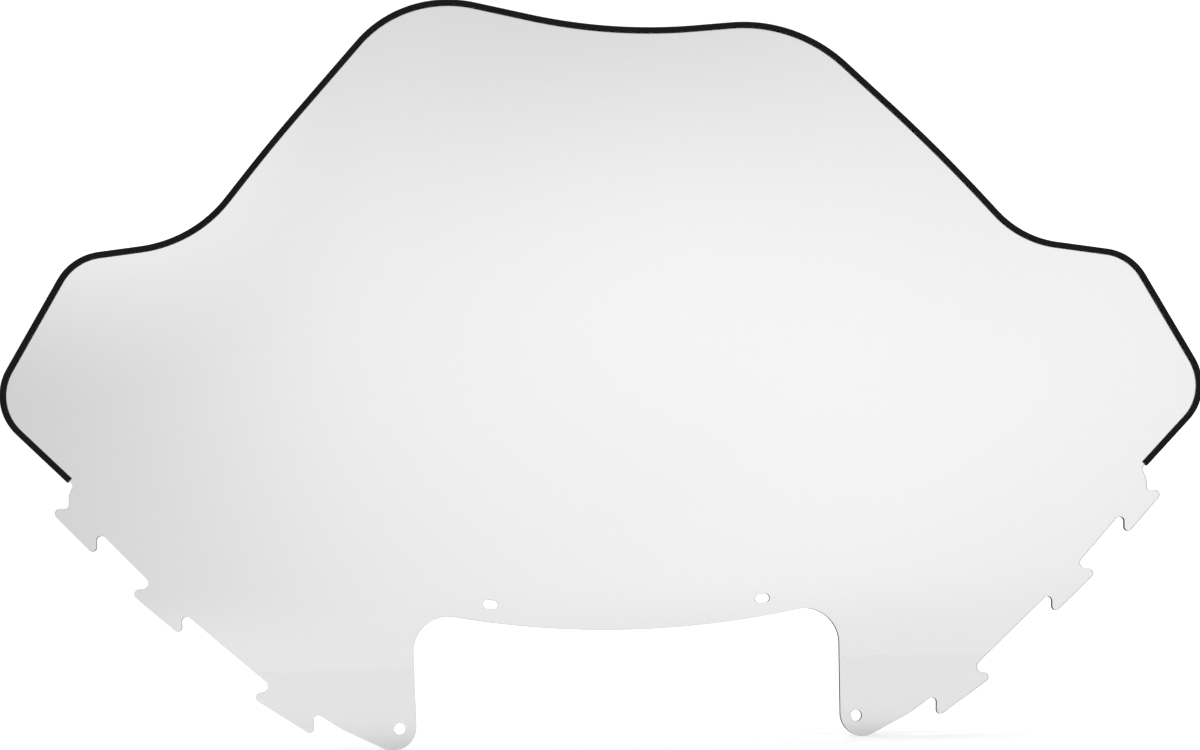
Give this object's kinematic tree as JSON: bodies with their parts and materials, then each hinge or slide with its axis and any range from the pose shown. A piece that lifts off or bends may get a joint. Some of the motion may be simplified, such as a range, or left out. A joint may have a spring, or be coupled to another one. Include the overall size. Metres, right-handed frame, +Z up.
{
  "type": "snow vehicle windshield",
  "caption": "Clear flat windshield with hook tabs along its lower sides, a gauge notch between two bolted ears, and a black edge trim.",
  "frame": {"origin": "on the centre line, in the middle of the sheet's thickness, level with the lowest points of the two mounting ears", "axes": "+Z up the sheet, +X to the right as the sheet is seen from its front, -Y out of its front face"},
  "size_m": [0.863, 0.0052, 0.5352],
  "materials": {
    "clear_polycarbonate": "gloss",
    "black_vinyl": "satin",
    "contact_adhesive": "matte"
  },
  "bodies": {
    "root": {"windshield_panel": "clear_polycarbonate", "edge_trim": "black_vinyl", "trim_adhesive": "contact_adhesive"}
  },
  "joints": []
}
